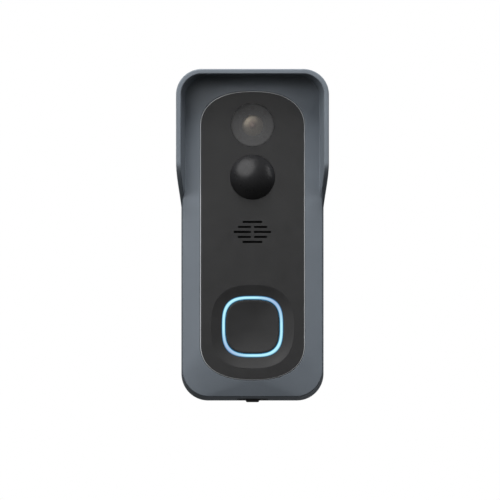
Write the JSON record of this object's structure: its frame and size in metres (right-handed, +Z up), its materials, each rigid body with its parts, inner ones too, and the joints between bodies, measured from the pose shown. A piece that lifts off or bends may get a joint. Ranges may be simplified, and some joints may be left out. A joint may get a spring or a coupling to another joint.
{
  "type": "video doorbell",
  "caption": "Upright battery video doorbell with a rain hood, dark arched front panel, camera window, motion-sensor dome, speaker slots and a dished push button inside a lit ring.",
  "frame": {"origin": "on the wall, at the middle of the wall bracket's back face, level with the middle of the body", "axes": "+Z up, +Y into the wall, +X to the right as a visitor sees it; the front faces -Y"},
  "size_m": [0.0652, 0.041, 0.1427],
  "materials": {
    "shell": "fine satin texture, blue-grey",
    "bracket": "plain moulded, dark grey",
    "latch": "plain moulded, black",
    "steel": "zinc plated",
    "spring": "drawn wire",
    "seal": "soft silicone, matt",
    "panel": "near-black satin",
    "tape": "foam tape",
    "window": "smoked",
    "barrel": "black, matt",
    "lens": "brown anti-reflection coating",
    "filter": "blue-green infrared-cut glass",
    "coil": "enamelled winding, potted",
    "chip": "moulded epoxy",
    "board": "green solder mask",
    "led_board": "black solder mask",
    "flex": "polyimide",
    "led": "clear resin on white body",
    "ir_led": "dark resin",
    "dome": "glossy black, passes infrared",
    "speaker": "plain moulded",
    "cone": "coated paper",
    "mesh": "woven, water resistant",
    "button": "near-black satin, dished",
    "ring": "milky light guide, lit cyan",
    "silicone": "translucent silicone",
    "ivory": "natural nylon",
    "cell": null,
    "cradle": "plain moulded",
    "wire": "insulated wire",
    "lead": "insulated wire, one red and one black",
    "cover": "soft, dark grey"
  },
  "bodies": {
    "bracket": {"wall_bracket": "bracket", "latch_spring": "spring"},
    "housing": {"front_housing": "shell", "rear_housing": "shell", "housing_gasket": "seal", "housing_screws": "steel", "board_screws": "steel", "front_panel": "panel", "panel_tape": "tape", "lens_window": "window", "lens_window_seal": "seal", "lens_barrel": "barrel", "lens_front_element": "lens", "lens_rear_element": "lens", "lens_holder": "barrel", "ir_cut_actuator": "coil", "image_sensor": "chip", "camera_board": "board", "camera_ribbon": "flex", "ir_baffle": "seal", "ir_led_board": "led_board", "ir_leds": "ir_led", "light_sensor": "ir_led", "pir_lens": "dome", "pir_retainer": "cradle", "pir_sensor": "steel", "pir_board": "board", "pir_ribbon": "flex", "speaker_frame": "speaker", "speaker_magnet": "steel", "speaker_cone": "cone", "speaker_gasket": "tape", "speaker_mesh": "mesh", "microphone": "steel", "microphone_boot": "seal", "light_ring": "ring", "ring_leds": "led", "button_membrane": "silicone", "tact_switch": "chip", "main_board": "board", "processor": "chip", "memory_chip": "chip", "wifi_module": "steel", "board_components": "chip", "antenna": "flex", "antenna_lead": "wire", "battery_cell_left": "cell", "battery_cell_right": "cell", "battery_cradle": "cradle", "battery_tabs": "steel", "battery_lead": "lead", "charge_board": "board", "usb_socket": "steel", "reset_switch": "chip"},
    "latch": {"bracket_latch": "latch"},
    "button": {"button_cap": "button"},
    "switch_plunger": {"tact_switch_plunger": "ivory"},
    "ir_filter": {"ir_cut_filter": "filter"},
    "port_cover": {"usb_cover": "cover"},
    "reset": {"reset_button": "silicone"}
  },
  "joints": [
    {"name": "housing_tilt", "type": "hinge", "parent": "bracket", "child": "housing", "pos_m": [0, -0.0033, 0.0627], "axis": [-1, 0, 0], "range_deg": [0, 18]},
    {"name": "latch_slide", "type": "slide", "parent": "bracket", "child": "latch", "axis": [0, 0, 1], "range_m": [0, 0.0015], "stiffness_N_per_m": 400, "springref_m": -0.001, "deforming": ["latch_spring"]},
    {"name": "button_press", "type": "slide", "parent": "housing", "child": "button", "axis": [0, 1, 0], "range_m": [0, 0.00045], "stiffness_N_per_m": 1500, "springref_m": -0.0005, "deforming": ["button_membrane"]},
    {"name": "switch_travel", "type": "slide", "parent": "housing", "child": "switch_plunger", "axis": [0, 1, 0], "range_m": [0, 0.00045], "stiffness_N_per_m": 10, "springref_m": -0.0002},
    {"name": "ir_filter_slide", "type": "slide", "parent": "housing", "child": "ir_filter", "axis": [1, 0, 0], "range_m": [0, 0.0054]},
    {"name": "usb_cover_open", "type": "hinge", "parent": "housing", "child": "port_cover", "pos_m": [0, -0.0076, -0.07057], "axis": [1, 0, 0], "range_deg": [0, 100]},
    {"name": "reset_press", "type": "slide", "parent": "housing", "child": "reset", "axis": [0, -1, 0], "range_m": [0, 0.00035], "stiffness_N_per_m": 1500, "springref_m": -0.0003}
  ],
  "couplings": [
    {"joint": "switch_travel", "follows": "button_press", "ratio": 1}
  ]
}
